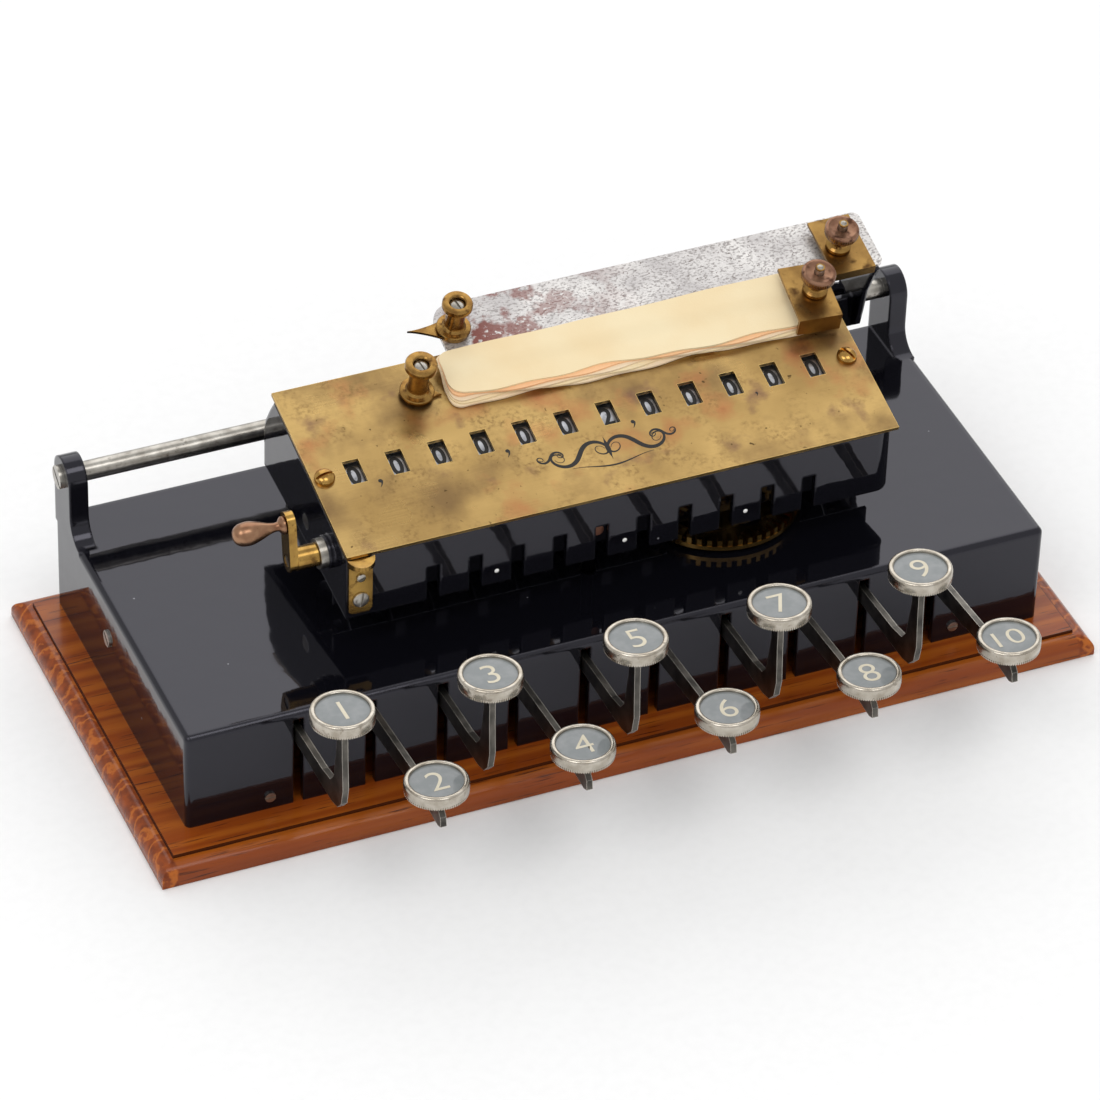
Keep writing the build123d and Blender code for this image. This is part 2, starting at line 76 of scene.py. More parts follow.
def mm(*values):
    """A vector in metres from millimetres."""
    return Vector([value * MM for value in values])


# ------------------------------------------------------------------ places
plate_low, plate_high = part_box("cover_plate")
plate_rise = PLATE_DEEP * math.sin(PLATE_TILT) * MM
plate_corner = Vector((plate_low.x, plate_low.y, plate_high.z - plate_rise))
cover_turn = Matrix.Rotation(PLATE_TILT, 4, "X")
cover_frame = Matrix.Translation(plate_corner) @ cover_turn


def on_cover(u, v, h=0.0):
    """Matrix of a place on the cover plate."""
    return cover_frame @ Matrix.Translation(mm(u, v, h))


def box_middle(name):
    low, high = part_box(name)
    return (low + high) / 2


# ------------------------------------------------------------------ colours and nodes
def colour(hex_code):
    """Linear colour from an sRGB hex code."""
    parts = [int(hex_code[i : i + 2], 16) / 255 for i in (1, 3, 5)]
    linear = [c / 12.92 if c <= 0.04045 else ((c + 0.055) / 1.055) ** 2.4 for c in parts]
    return (*linear, 1.0)


def node(tree, kind, values=None, links=None, **settings):
    """Adds one node with its settings, its socket values and its links."""
    made = tree.nodes.new(kind)
    for name, value in settings.items():
        setattr(made, name, value)
    for name, value in (values or {}).items():
        made.inputs[name].default_value = value
    for name, source in (links or {}).items():
        tree.links.new(source, made.inputs[name])
    return made


def new_material(name):
    """An empty material with its shader, its output and Object coordinates."""
    material = bpy.data.materials.new(name)
    material.use_nodes = True
    tree = material.node_tree
    tree.nodes.clear()
    shader = node(tree, "ShaderNodeBsdfPrincipled")
    node(tree, "ShaderNodeOutputMaterial", links={"Surface": shader.outputs[0]})
    place = node(tree, "ShaderNodeTexCoord").outputs["Object"]
    return material, tree, shader, place


def per_mm(size):
    """Texture scale that gives a pattern of that size in millimetres."""
    return 1000.0 / size


def layered(tree, ground, *coats):
    """Colour socket of a ground hex or socket under coats of (hex or socket, share)."""
    for coat, share in coats:
        values, links = {}, {0: share}
        for place, tone in ((6, ground), (7, coat)):
            if isinstance(tone, str):
                values[place] = colour(tone)
            else:
                links[place] = tone
        ground = node(tree, "ShaderNodeMix", values, links, data_type="RGBA").outputs[2]
    return ground


def black_enamel():
    # Stoved black enamel, brushed on: deep black, mirror-like, faintly rippled, with lint.
    material, tree, shader, place = new_material("black_stoving_enamel")
    ripple = node(tree, "ShaderNodeTexNoise", {"Scale": per_mm(9), "Detail": 2.0}, {"Vector": place})
    lint = node(tree, "ShaderNodeTexVoronoi", {"Scale": per_mm(11)}, {"Vector": place}, feature="F1")
    lint_ramp = node(tree, "ShaderNodeValToRGB", links={"Fac": lint.outputs["Distance"]})
    lint_ramp.color_ramp.elements[0].position = 0.018
    lint_ramp.color_ramp.elements[0].color = (1, 1, 1, 1)
    lint_ramp.color_ramp.elements[1].position = 0.03
    lint_ramp.color_ramp.elements[1].color = (0, 0, 0, 1)
    tint = layered(tree, "#0B0B10", ("#7A7A7E", lint_ramp.outputs["Color"]))
    tree.links.new(tint, shader.inputs["Base Color"])
    smear = node(tree, "ShaderNodeTexNoise", {"Scale": per_mm(28), "Detail": 4.0}, {"Vector": place})
    rough = node(
        tree,
        "ShaderNodeMapRange",
        {"From Min": 0.35, "From Max": 0.75, "To Min": 0.025, "To Max": 0.085},
        {"Value": smear.outputs["Fac"]},
    )
    tree.links.new(rough.outputs[0], shader.inputs["Roughness"])
    thick_coat = node(tree, "ShaderNodeBevel", {"Radius": 0.0009}, samples=6)
    bump = node(
        tree,
        "ShaderNodeBump",
        {"Strength": 0.12, "Distance": 0.0004},
        {"Height": ripple.outputs["Fac"], "Normal": thick_coat.outputs[0]},
    )
    tree.links.new(bump.outputs[0], shader.inputs["Normal"])
    shader.inputs["Specular Tint"].default_value = colour("#F1EFFF")
    return material


def masked(tree, place, size, low, high, detail=4.0, stretch=(1, 1, 1), offset=0.0):
    """Soft patches: a noise of that size in millimetres, cut between two levels."""
    spot = node(
        tree,
        "ShaderNodeMapping",
        {"Scale": stretch, "Location": (offset, offset * 0.7, 0)},
        {"Vector": place},
    )
    cloud = node(
        tree, "ShaderNodeTexNoise", {"Scale": per_mm(size), "Detail": detail}, {"Vector": spot.outputs[0]}
    )
    level = node(
        tree, "ShaderNodeMapRange", {"From Min": low, "From Max": high}, {"Value": cloud.outputs["Fac"]}
    )
    return level.outputs[0]


def edge_wear(tree, radius, start, full):
    """Factor that is 1 along sharp edges, where handling rubs metal bright."""
    soft = node(tree, "ShaderNodeBevel", {"Radius": radius}, samples=4)
    hard = node(tree, "ShaderNodeNewGeometry")
    same = node(
        tree,
        "ShaderNodeVectorMath",
        links={0: soft.outputs[0], 1: hard.outputs["True Normal"]},
        operation="DOT_PRODUCT",
    )
    edge = node(
        tree,
        "ShaderNodeMapRange",
        {"From Min": start, "From Max": full},
        {"Value": same.outputs["Value"]},
    )
    return edge.outputs[0]


def metal(name, light, dark, stain, rough, stain_share=0.62, size=12.0, grain=0.35):
    """A worn metal: two tones in patches, stains, pits and fine rub marks."""
    material, tree, shader, place = new_material(name)
    tone = masked(tree, place, size, 0.35, 0.7)
    stains = masked(tree, place, size * 0.75, stain_share, stain_share + 0.14, 6.0, offset=0.37)
    pits = masked(tree, place, 0.9, 0.68, 0.78, 3.0, offset=0.11)
    base = layered(tree, light, (dark, tone), (stain, stains), (stain, pits))
    tree.links.new(base, shader.inputs["Base Color"])
    rub = masked(tree, place, grain, 0.3, 0.7, 2.0, stretch=(0.06, 1, 1))
    level = node(
        tree, "ShaderNodeMapRange", {"To Min": rough, "To Max": rough + 0.16}, {"Value": stains}
    )
    tree.links.new(level.outputs[0], shader.inputs["Roughness"])
    bump = node(tree, "ShaderNodeBump", {"Strength": 0.10, "Distance": 0.00005}, {"Height": rub})
    tree.links.new(bump.outputs[0], shader.inputs["Normal"])
    shader.inputs["Metallic"].default_value = 1.0
    return material


def cover_brass():
    # Rolled brass sheet, lacquer long gone: olive-gold, cloudy, with brown and pink tarnish.
    material, tree, shader, place = new_material("tarnished_sheet_brass")
    freckle = masked(tree, place, 1.1, 0.45, 0.75, 6.0, offset=0.6)
    worn = masked(tree, place, 8, 0.45, 0.68, 4.0, offset=0.15)
    freckle = node(tree, "ShaderNodeMath", links={0: freckle, 1: worn}, operation="MULTIPLY")
    gold = layered(
        tree,
        "#B99A62",
        ("#9E8150", masked(tree, place, 26, 0.38, 0.66)),
        ("#7F6644", masked(tree, place, 17, 0.50, 0.72, 6.0, offset=0.2)),
        ("#A8704A", masked(tree, place, 15, 0.56, 0.76, 5.0, offset=0.9)),
        ("#6F5146", masked(tree, place, 11, 0.60, 0.76, 7.0, offset=0.55)),
        ("#544229", masked(tree, place, 2.0, 0.70, 0.76, 3.0, offset=0.3)),
        ("#7E6440", freckle.outputs[0]),
        ("#E0C078", edge_wear(tree, 0.0004, 0.9, 0.7)),
    )
    tree.links.new(gold, shader.inputs["Base Color"])
    cloud = masked(tree, place, 14, 0.35, 0.7, 5.0, offset=0.7)
    rough = node(tree, "ShaderNodeMapRange", {"To Min": 0.26, "To Max": 0.44}, {"Value": cloud})
    tree.links.new(rough.outputs[0], shader.inputs["Roughness"])
    scratch = masked(tree, place, 0.5, 0.3, 0.7, 2.0, stretch=(0.05, 1, 1))
    bump = node(tree, "ShaderNodeBump", {"Strength": 0.14, "Distance": 0.00005}, {"Height": scratch})
    tree.links.new(bump.outputs[0], shader.inputs["Normal"])
    shader.inputs["Metallic"].default_value = 1.0
    return material


def rusty_steel():
    # Cold-rolled steel sheet: pale and matt, peppered with grey pits, rusted at its left.
    material, tree, shader, place = new_material("rust_pitted_steel")
    along = node(tree, "ShaderNodeSeparateXYZ", links={"Vector": place}).outputs["X"]
    left = node(
        tree,
        "ShaderNodeMapRange",
        {"From Min": 0.035, "From Max": -0.012},
        {"Value": along},
    )
    patch = masked(tree, place, 9.5, 0.50, 0.56, 7.0, offset=0.13)
    grit = masked(tree, place, 1.4, 0.34, 0.44, 4.0, offset=0.8)
    rust = node(tree, "ShaderNodeMath", links={0: patch, 1: left.outputs[0]}, operation="MULTIPLY")
    rust = node(tree, "ShaderNodeMath", links={0: rust.outputs[0], 1: grit}, operation="MULTIPLY")
    base = layered(
        tree,
        "#DEDBD8",
        ("#BDB9B8", masked(tree, place, 10, 0.35, 0.65)),
        ("#9B9694", masked(tree, place, 0.55, 0.50, 0.62, 6.0, stretch=(0.6, 1, 1))),
        ("#6B5F5A", masked(tree, place, 0.7, 0.64, 0.70, 4.0, offset=0.5)),
        ("#7A3B30", rust.outputs[0]),
    )
    tree.links.new(base, shader.inputs["Base Color"])
    shine = node(tree, "ShaderNodeMapRange", {"To Min": 0.75, "To Max": 0.1}, {"Value": rust.outputs[0]})
    tree.links.new(shine.outputs[0], shader.inputs["Metallic"])
    pits = masked(tree, place, 0.8, 0.35, 0.65, 4.0)
    bump = node(tree, "ShaderNodeBump", {"Strength": 0.3, "Distance": 0.0001}, {"Height": pits})
    tree.links.new(bump.outputs[0], shader.inputs["Normal"])
    shader.inputs["Roughness"].default_value = 0.42
    return material


def lever_steel():
    # Hardened strip steel, blued by heat treatment and rubbed bright along its edges.
    material, tree, shader, place = new_material("blued_strip_steel")
    base = layered(
        tree,
        "#6A6660",
        ("#3F3D3A", masked(tree, place, 5, 0.35, 0.65, 6.0)),
        ("#C9C4BA", edge_wear(tree, 0.00035, 0.98, 0.85)),
    )
    tree.links.new(base, shader.inputs["Base Color"])
    rub = masked(tree, place, 0.6, 0.3, 0.7, 3.0)
    bump = node(tree, "ShaderNodeBump", {"Strength": 0.2, "Distance": 0.00008}, {"Height": rub})
    tree.links.new(bump.outputs[0], shader.inputs["Normal"])
    shader.inputs["Metallic"].default_value = 1.0
    shader.inputs["Roughness"].default_value = 0.36
    return material


def varnished_oak():
    # One oak board with its grain along X: orange-brown, varnished, end grain at its ends.
    material, tree, shader, place = new_material("varnished_oak")
    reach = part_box("wood_base")[1]
    long_grain = (0.045, 1, 1)
    warp = node(tree, "ShaderNodeMapping", {"Scale": (0.07, 1, 1)}, {"Vector": place})
    figure = node(
        tree,
        "ShaderNodeTexWave",
        {"Scale": per_mm(20), "Distortion": 9.0, "Detail": 5.0, "Detail Scale": 1.8},
        {"Vector": warp.outputs[0]},
        bands_direction="Y",
    )
    pores = masked(tree, place, 0.6, 0.60, 0.70, 3.0, stretch=long_grain, offset=0.2)
    board = layered(
        tree,
        "#924411",
        ("#7A3610", masked(tree, place, 5, 0.3, 0.72, 6.0, stretch=long_grain, offset=0.4)),
        ("#A05418", figure.outputs["Fac"]),
        ("#491F09", pores),
    )
    # The ends were cut across the grain: darker, with fine pale flame-like arcs.
    rings = node(
        tree,
        "ShaderNodeTexWave",
        {"Scale": per_mm(17), "Distortion": 11.0, "Detail": 6.0, "Detail Scale": 2.6},
        {"Vector": place},
        bands_direction="Y",
    )
    arcs = node(
        tree,
        "ShaderNodeMapRange",
        {"From Min": 0.70, "From Max": 1.0, "To Max": 0.75},
        {"Value": rings.outputs["Fac"]},
    )
    cut = layered(
        tree,
        "#90410A",
        ("#6C2C06", masked(tree, place, 2.5, 0.35, 0.65, 6.0)),
        ("#B8651F", arcs.outputs[0]),
    )
    split = node(tree, "ShaderNodeSeparateXYZ", links={"Vector": place})
    from_edge = []
    for axis, far in (("X", reach.x), ("Y", reach.y)):
        out = node(tree, "ShaderNodeMath", links={0: split.outputs[axis]}, operation="ABSOLUTE")
        gap = node(tree, "ShaderNodeMath", {0: far}, {1: out.outputs[0]}, operation="SUBTRACT")
        from_edge.append(gap.outputs[0])
    is_end = node(
        tree, "ShaderNodeMapRange", {"From Min": 0.0046, "From Max": 0.0040}, {"Value": from_edge[0]}
    )
    near = node(tree, "ShaderNodeMath", links={0: from_edge[0], 1: from_edge[1]}, operation="MINIMUM")
    # Painted shade: a dark line along the groove behind the nose, where the step's shadow falls.
    groove_shade = node(
        tree, "ShaderNodeMath", {1: 0.0044, 2: 0.00015}, {0: near.outputs[0]}, operation="COMPARE"
    )
    wood = layered(tree, board, (cut, is_end.outputs[0]), ("#451E0A", groove_shade.outputs[0]))
    tree.links.new(wood, shader.inputs["Base Color"])
    bump = node(tree, "ShaderNodeBump", {"Strength": 0.25, "Distance": -0.0001}, {"Height": pores})
    tree.links.new(bump.outputs[0], shader.inputs["Normal"])
    shader.inputs["Roughness"].default_value = 0.2
    shader.inputs["Specular IOR Level"].default_value = 0.3
    return material


def note_paper(name, pale, deep):
    # Uncoated note paper, yellowed: matt, cloudy, with a faint fibre.
    material, tree, shader, place = new_material(name)
    base = layered(tree, pale, (deep, masked(tree, place, 22, 0.4, 0.75, 5.0)))
    tree.links.new(base, shader.inputs["Base Color"])
    fibre = masked(tree, place, 0.5, 0.3, 0.7, 4.0)
    bump = node(tree, "ShaderNodeBump", {"Strength": 0.12, "Distance": 0.0001}, {"Height": fibre})
    tree.links.new(bump.outputs[0], shader.inputs["Normal"])
    shader.inputs["Roughness"].default_value = 0.85
    return material


def plain(name, hex_code, other, rough, coat=0.0, metallic=0.0, size=3.0):
    """A paint, card or enamel of two close tones, with a coat where it is under glass."""
    material, tree, shader, place = new_material(name)
    base = layered(tree, hex_code, (other, masked(tree, place, size, 0.4, 0.7, 4.0)))
    tree.links.new(base, shader.inputs["Base Color"])
    shader.inputs["Roughness"].default_value = rough
    shader.inputs["Coat Weight"].default_value = coat
    shader.inputs["Coat Roughness"].default_value = 0.03
    shader.inputs["Metallic"].default_value = metallic
    return material


def tipped_copper():
    # Copper nose on a blackened steel post.
    material = metal("browned_copper", "#8A6250", "#6E4A3D", "#4A3028", 0.38, 0.6, 3.0)
    tree = material.node_tree
    shader = tree.nodes["Principled BSDF"]
    copper_tone = shader.inputs["Base Color"].links[0].from_socket
    place = node(tree, "ShaderNodeTexCoord").outputs["Object"]
    high = node(tree, "ShaderNodeSeparateXYZ", links={"Vector": place}).outputs["Z"]
    black = node(tree, "ShaderNodeMapRange", {"From Min": 0.0490, "From Max": 0.0486}, {"Value": high})
    tree.links.new(layered(tree, copper_tone, ("#0B0A0B", black.outputs[0])), shader.inputs["Base Color"])
    return material


# Old brass turnings and strip: brighter where hands rub it.
turned_brass = metal("turned_brass", "#B8934F", "#8C6A38", "#5E4325", 0.22, 0.60, 4.0)
# Folded brass strip that has gone brown.
brown_brass = metal("browned_brass_strip", "#9F7D47", "#7D5F36", "#5C4225", 0.30, 0.58, 5.0)
# Cast bronze handled for years: pinkish brown.
hand_bronze = metal("handled_bronze", "#A98467", "#86604A", "#5F4032", 0.30, 0.6, 4.0)
# Nickel plate on brass: warm white, slightly dulled.
nickel = metal("dulled_nickel_plate", "#C2BBAF", "#A1988A", "#7C7265", 0.25, 0.62, 3.0)
# Bare mild steel: grey, finely pitted.
bare_steel = metal("bare_mild_steel", "#B9B5AD", "#928D85", "#6A625A", 0.28, 0.6, 3.0)
# Die-cast wheel metal: silvery and dull.
wheel_metal = metal("die_cast_wheel_alloy", "#AEAFB3", "#8B8C90", "#57585C", 0.34, 0.6, 2.0)
copper = tipped_copper()
enamel = black_enamel()
sheet_brass = cover_brass()
oak = varnished_oak()
strip_steel = lever_steel()
speckled = rusty_steel()
cream_paper = note_paper("yellowed_note_paper", "#EBDAB4", "#E6CEA2")
pink_paper = note_paper("orange_note_paper", "#F2C596", "#ECB384")
white_paper = note_paper("pale_note_paper", "#EBD9BC", "#E0C7A2")
# Printed card under a glass: blue-grey, glossy through its glass.
disc_card = plain("blue_grey_card_under_glass", "#74797A", "#838687", 0.6, coat=0.6)
# Cream numerals printed on that card.
cream_print = plain("cream_print_under_glass", "#CFC6AF", "#C2B89F", 0.6, coat=0.6)
# Black wax let into engraving.
black_wax = plain("black_engravers_wax", "#0C0A08", "#17120D", 0.6)
# White enamel in the index dots.
white_enamel = plain("white_enamel_dot", "#F2F2EE", "#DEDED8", 0.25)

looks = {
    "wood_base": oak,
    "casing": enamel,
    "carriage_housing": enamel,
    "hinge_bracket": enamel,
    "rod": bare_steel,
    "casing_screws": bare_steel,
    "key_shaft": bare_steel,
    "gear_arbor": bare_steel,
    "carriage_sleeve": bare_steel,
    "wheel_shaft": bare_steel,
    "crank_collar": bare_steel,
    "locating_pin": copper,
    "cover_plate": sheet_brass,
    "carriage_screws": turned_brass,
    "finger_tab": turned_brass,
    "crank_arm": turned_brass,
    "crank_handle": hand_bronze,
    "crown_gear": turned_brass,
    "note_plate": speckled,
    "front_clamp": brown_brass,
    "rear_clamp": brown_brass,
    "front_post": turned_brass,
    "rear_post": turned_brass,
    "front_pointer": turned_brass,
    "rear_pointer": turned_brass,
    "front_knob": hand_bronze,
    "rear_knob": hand_bronze,
}
for number in range(1, KEY_COUNT + 1):
    looks[f"key_{number:02d}_lever"] = strip_steel
    looks[f"key_{number:02d}_cap"] = nickel
for number in range(1, WHEEL_COUNT + 1):
    looks[f"number_wheel_{number:02d}"] = wheel_metal
looks["paper_pad"] = cream_paper
for name, look in looks.items():
    slots = nodes[name].data.materials
    slots.clear()
    slots.append(look)


# ------------------------------------------------------------------ mesh helpers
def to_object(name, mesh_builder, material, body, smooth=True, angle=35):
    """Turns a bmesh into a finished piece that rides on a body."""
    mesh = bpy.data.meshes.new(name)
    mesh_builder.to_mesh(mesh)
    mesh_builder.free()
    mesh.materials.append(material)
    if smooth:
        mesh.shade_smooth()
        mesh.set_sharp_from_angle(angle=math.radians(angle))
    piece = bpy.data.objects.new(name, mesh)
    bpy.context.scene.collection.objects.link(piece)
    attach(piece, body)
    return piece


def lathe(profile, steps=96):
    """Closed turned shape about Z from a list of (radius, height) in millimetres."""
    built = bmesh.new()
    rings = []
    for radius, height in profile:
        if radius < 1e-6:
            rings.append([built.verts.new(mm(0, 0, height))])
            continue
        ring = []
        for k in range(steps):
            a = 2 * math.pi * k / steps
            ring.append(built.verts.new(mm(radius * math.cos(a), radius * math.sin(a), height)))
        rings.append(ring)
    for lower, upper in zip(rings, rings[1:]):
        for k in range(steps):
            n = (k + 1) % steps
            corners = [ring[j % len(ring)] for ring, j in ((lower, k), (lower, n), (upper, n), (upper, k))]
            unique = list(dict.fromkeys(corners))
            if len(unique) > 2:
                built.faces.new(unique)
    bmesh.ops.recalc_face_normals(built, faces=built.faces)
    return built


def add_mesh(built, mesh, matrix):
    """Adds a placed copy of a mesh to a bmesh."""
    first = len(built.verts)
    built.from_mesh(mesh)
    built.verts.ensure_lookup_table()
    bmesh.ops.transform(built, matrix=matrix, verts=built.verts[first:])


def glyph(text, high, wide=None, heavy=0.0):
    """Mesh of a numeral, centred, of that height and width in millimetres; heavy thickens its strokes."""
    curve = bpy.data.curves.new("glyph", "FONT")
    curve.body = text
    curve.resolution_u = 5
    curve.offset = heavy
    holder = bpy.data.objects.new("glyph", curve)
    bpy.context.scene.collection.objects.link(holder)
    bpy.context.view_layer.update()
    mesh = bpy.data.meshes.new_from_object(holder.evaluated_get(bpy.context.evaluated_depsgraph_get()))
    bpy.data.objects.remove(holder)
    xs = [v.co.x for v in mesh.vertices]
    ys = [v.co.y for v in mesh.vertices]
    scale_y = high * MM / (max(ys) - min(ys))
    scale_x = scale_y if wide is None else wide * MM / (max(xs) - min(xs))
    middle = ((max(xs) + min(xs)) / 2, (max(ys) + min(ys)) / 2)
    for v in mesh.vertices:
        v.co = Vector(((v.co.x - middle[0]) * scale_x, (v.co.y - middle[1]) * scale_y, 0))
    return mesh


def ribbed_ring_tree():
    """Geometry tree: small ribs standing round a circle, for knurls and crimped edges."""
    tree = bpy.data.node_groups.new("ribs round a rim", "GeometryNodeTree")
    face = tree.interface
    face.new_socket("Geometry", in_out="OUTPUT", socket_type="NodeSocketGeometry")
    for label, kind in (
        ("Count", "NodeSocketInt"),
        ("Radius", "NodeSocketFloat"),
        ("Rib", "NodeSocketVector"),
        ("Finish", "NodeSocketMaterial"),
    ):
        face.new_socket(label, in_out="INPUT", socket_type=kind)
    start = node(tree, "NodeGroupInput")
    circle = node(
        tree,
        "GeometryNodeMeshCircle",
        links={"Vertices": start.outputs["Count"], "Radius": start.outputs["Radius"]},
    )
    rib = node(tree, "GeometryNodeMeshCube", links={"Size": start.outputs["Rib"]})
    spot = node(tree, "GeometryNodeInputPosition")
    aim = node(tree, "FunctionNodeAlignRotationToVector", links={"Vector": spot.outputs[0]}, axis="X")
    ribs = node(
        tree,
        "GeometryNodeInstanceOnPoints",
        links={
            "Points": circle.outputs[0],
            "Instance": rib.outputs[0],
            "Rotation": aim.outputs[0],
        },
    )
    real = node(tree, "GeometryNodeRealizeInstances", links={0: ribs.outputs[0]})
    finish = node(
        tree, "GeometryNodeSetMaterial", links={0: real.outputs[0], "Material": start.outputs["Finish"]}
    )
    node(tree, "NodeGroupOutput", links={0: finish.outputs[0]})
    return tree


rib_tree = ribbed_ring_tree()


def ribbed_ring(count, radius, rib, material):
    """Plain mesh of a ring of ribs, sizes in millimetres."""
    holder = bpy.data.objects.new("ribs", bpy.data.meshes.new("ribs"))
    bpy.context.scene.collection.objects.link(holder)
    modifier = holder.modifiers.new("ribs", "NODES")
    modifier.node_group = rib_tree
    values = {
        "Count": count,
        "Radius": radius * MM,
        "Rib": tuple(side * MM for side in rib),
        "Finish": material,
    }
    for item in rib_tree.interface.items_tree:
        if item.in_out == "INPUT":
            modifier[item.identifier] = values[item.name]
    bpy.context.view_layer.update()
    graph = bpy.context.evaluated_depsgraph_get()
    mesh = bpy.data.meshes.new_from_object(holder.evaluated_get(graph))
    holder.modifiers.clear()
    bpy.data.objects.remove(holder)
    return mesh


# ------------------------------------------------------------------ keys
cap_profile = [
    (0.0, -0.85),
    (6.62, -0.85),
    (6.68, -0.2),
    (6.85, -0.05),
    (7.2, 0.0),
    (7.6, -0.06),
    (7.86, -0.28),
    (8.0, -0.65),
    (8.03, -1.2),
    (8.03, -2.5),
    (7.95, -2.7),
    (7.62, -2.85),
    (7.55, -3.45),
    (7.3, -3.6),
    (3.5, -3.6),
    (3.1, -4.3),
    (0.0, -4.3),
]
crimp = ribbed_ring(84, 7.66, (0.42, 0.3, 0.7), nickel)


def key_cap(number):
    """Rim with its crimped edge, the card under its glass and the numeral."""
    cap = f"key_{number:02d}_cap"
    low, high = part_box(cap)
    middle = (low + high) / 2
    rise = (CAP_RADIUS - 0.4) * math.sin(-CAP_TILT) * MM
    place = Matrix.Translation((middle.x, middle.y + 0.12 * MM, high.z - rise))
    place = place @ Matrix.Rotation(CAP_TILT, 4, "X")
    rim = lathe(cap_profile)
    bmesh.ops.transform(rim, matrix=place, verts=rim.verts)
    add_mesh(rim, crimp, place @ Matrix.Translation(mm(0, 0, -3.1)))
    body = f"key_{number:02d}"
    piece = to_object(f"{body}_rim", rim, nickel, body)
    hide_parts(cap)
    card = lathe([(0.0, -0.52), (3.0, -0.53), (5.6, -0.6), (6.64, -0.7), (6.64, -0.86), (0.0, -0.86)])
    bmesh.ops.transform(card, matrix=place, verts=card.verts)
    to_object(f"{body}_card", card, disc_card, body)
    numeral = bmesh.new()
    size = (6.0, 7.8) if number == 10 else (7.1, None)
    add_mesh(numeral, glyph(str(number), *size, -0.006), place @ Matrix.Translation(mm(0, -0.1, -0.49)))
    to_object(f"{body}_numeral", numeral, cream_print, body, smooth=False)


for number in range(1, KEY_COUNT + 1):
    key_cap(number)


# ------------------------------------------------------------------ screws
def as_mesh(built, name="part"):
    """Plain mesh from a bmesh, which is freed."""
    mesh = bpy.data.meshes.new(name)
    built.to_mesh(mesh)
    built.free()
    return mesh


def carved(head, cutter):
    """Mesh of a head with a cutter taken out of it."""
    holders = []
    for built in (head, cutter):
        holder = bpy.data.objects.new("carving", as_mesh(built))
        bpy.context.scene.collection.objects.link(holder)
        holders.append(holder)
    cut = holders[0].modifiers.new("slot", "BOOLEAN")
    cut.operation = "DIFFERENCE"
    cut.object = holders[1]
    cut.solver = "EXACT"
    bpy.context.view_layer.update()
    graph = bpy.context.evaluated_depsgraph_get()
    mesh = bpy.data.meshes.new_from_object(holders[0].evaluated_get(graph))
    for holder in holders:
        bpy.data.objects.remove(holder)
    return mesh


def screw_head(radius, high, slot, turn, edge=0.35):
    """Domed head with a screwdriver slot, standing on its own z = 0."""
    profile = [(0.0, 0.0), (radius, 0.0), (radius, high * edge)]
    for k in range(1, 9):
        a = math.radians(90 / 8 * k)
        profile.append((radius * math.cos(a), high * (edge + (1 - edge) * math.sin(a))))
    head = lathe(profile, 48)
    cutter = bmesh.new()
    bmesh.ops.create_cube(cutter, size=MM)
    bmesh.ops.scale(cutter, vec=(radius * 3, slot, high * 1.1), verts=cutter.verts)
    place = Matrix.Rotation(math.radians(turn), 4, "Z") @ Matrix.Translation(mm(0, 0, high))
    bmesh.ops.transform(cutter, matrix=place, verts=cutter.verts)
    return carved(head, cutter)


TAB_X = -63.5
POST_PLACES = {"front_post": (34.7, 43.3, 10.6), "rear_post": (49.7, 57.7, 12.6)}


def carriage_screws():
    """Brass screws of the cover, steel ones of the finger tab and in the posts' tops."""
    brass_heads = bmesh.new()
    for u, turn in ((3.3, 10), (144.65, 118)):
        add_mesh(brass_heads, screw_head(2.6, 2.0, 0.7, turn, 0.25), on_cover(u, WINDOW_V, 0.02))
    brass_piece = to_object("cover_screws", brass_heads, screw_brass, "carriage")
    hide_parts("carriage_screws")
    steel_heads = bmesh.new()
    strip_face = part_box("carriage_housing")[0].y - 1.0 * MM
    for z, radius, turn in ((56.9, 1.15, 20), (50.0, 2.1, 80)):
        place = Matrix.Translation((TAB_X * MM, strip_face, z * MM)) @ Matrix.Rotation(math.pi / 2, 4, "X")
        add_mesh(steel_heads, screw_head(radius, 0.8, 0.55, turn, 0.5), place)
    for u, v, h in POST_PLACES.values():
        add_mesh(steel_heads, screw_head(1.9, 0.9, 0.6, 100, 0.6), on_cover(u, v, h + 0.01))
    to_object("steel_screws", steel_heads, bare_steel, "carriage")


screw_brass = metal("browned_screw_brass", "#B8914F", "#96703A", "#5F4224", 0.2, 0.6, 2.0)
carriage_screws()


# ------------------------------------------------------------------ knobs, posts and handle
def smooth_outline(points, steps=6):
    """Catmull-Rom curve through (radius, height) points."""
    full = [points[0], *points, points[-1]]
    curve = []
    for k in range(1, len(full) - 2):
        a, b, c, d = (Vector(full[k + n]) for n in (-1, 0, 1, 2))
        for j in range(steps):
            t = j / steps
            square = (2 * a - 5 * b + 4 * c - d) * t**2
            cube = (3 * b - a - 3 * c + d) * t**3
            curve.append(0.5 * (2 * b + (c - a) * t + square + cube))
    curve.append(Vector(points[-1]))
    return [(max(p.x, 0.0), p.y) for p in curve]


knurl = ribbed_ring(44, 4.3, (0.3, 0.28, 1.1), hand_bronze)


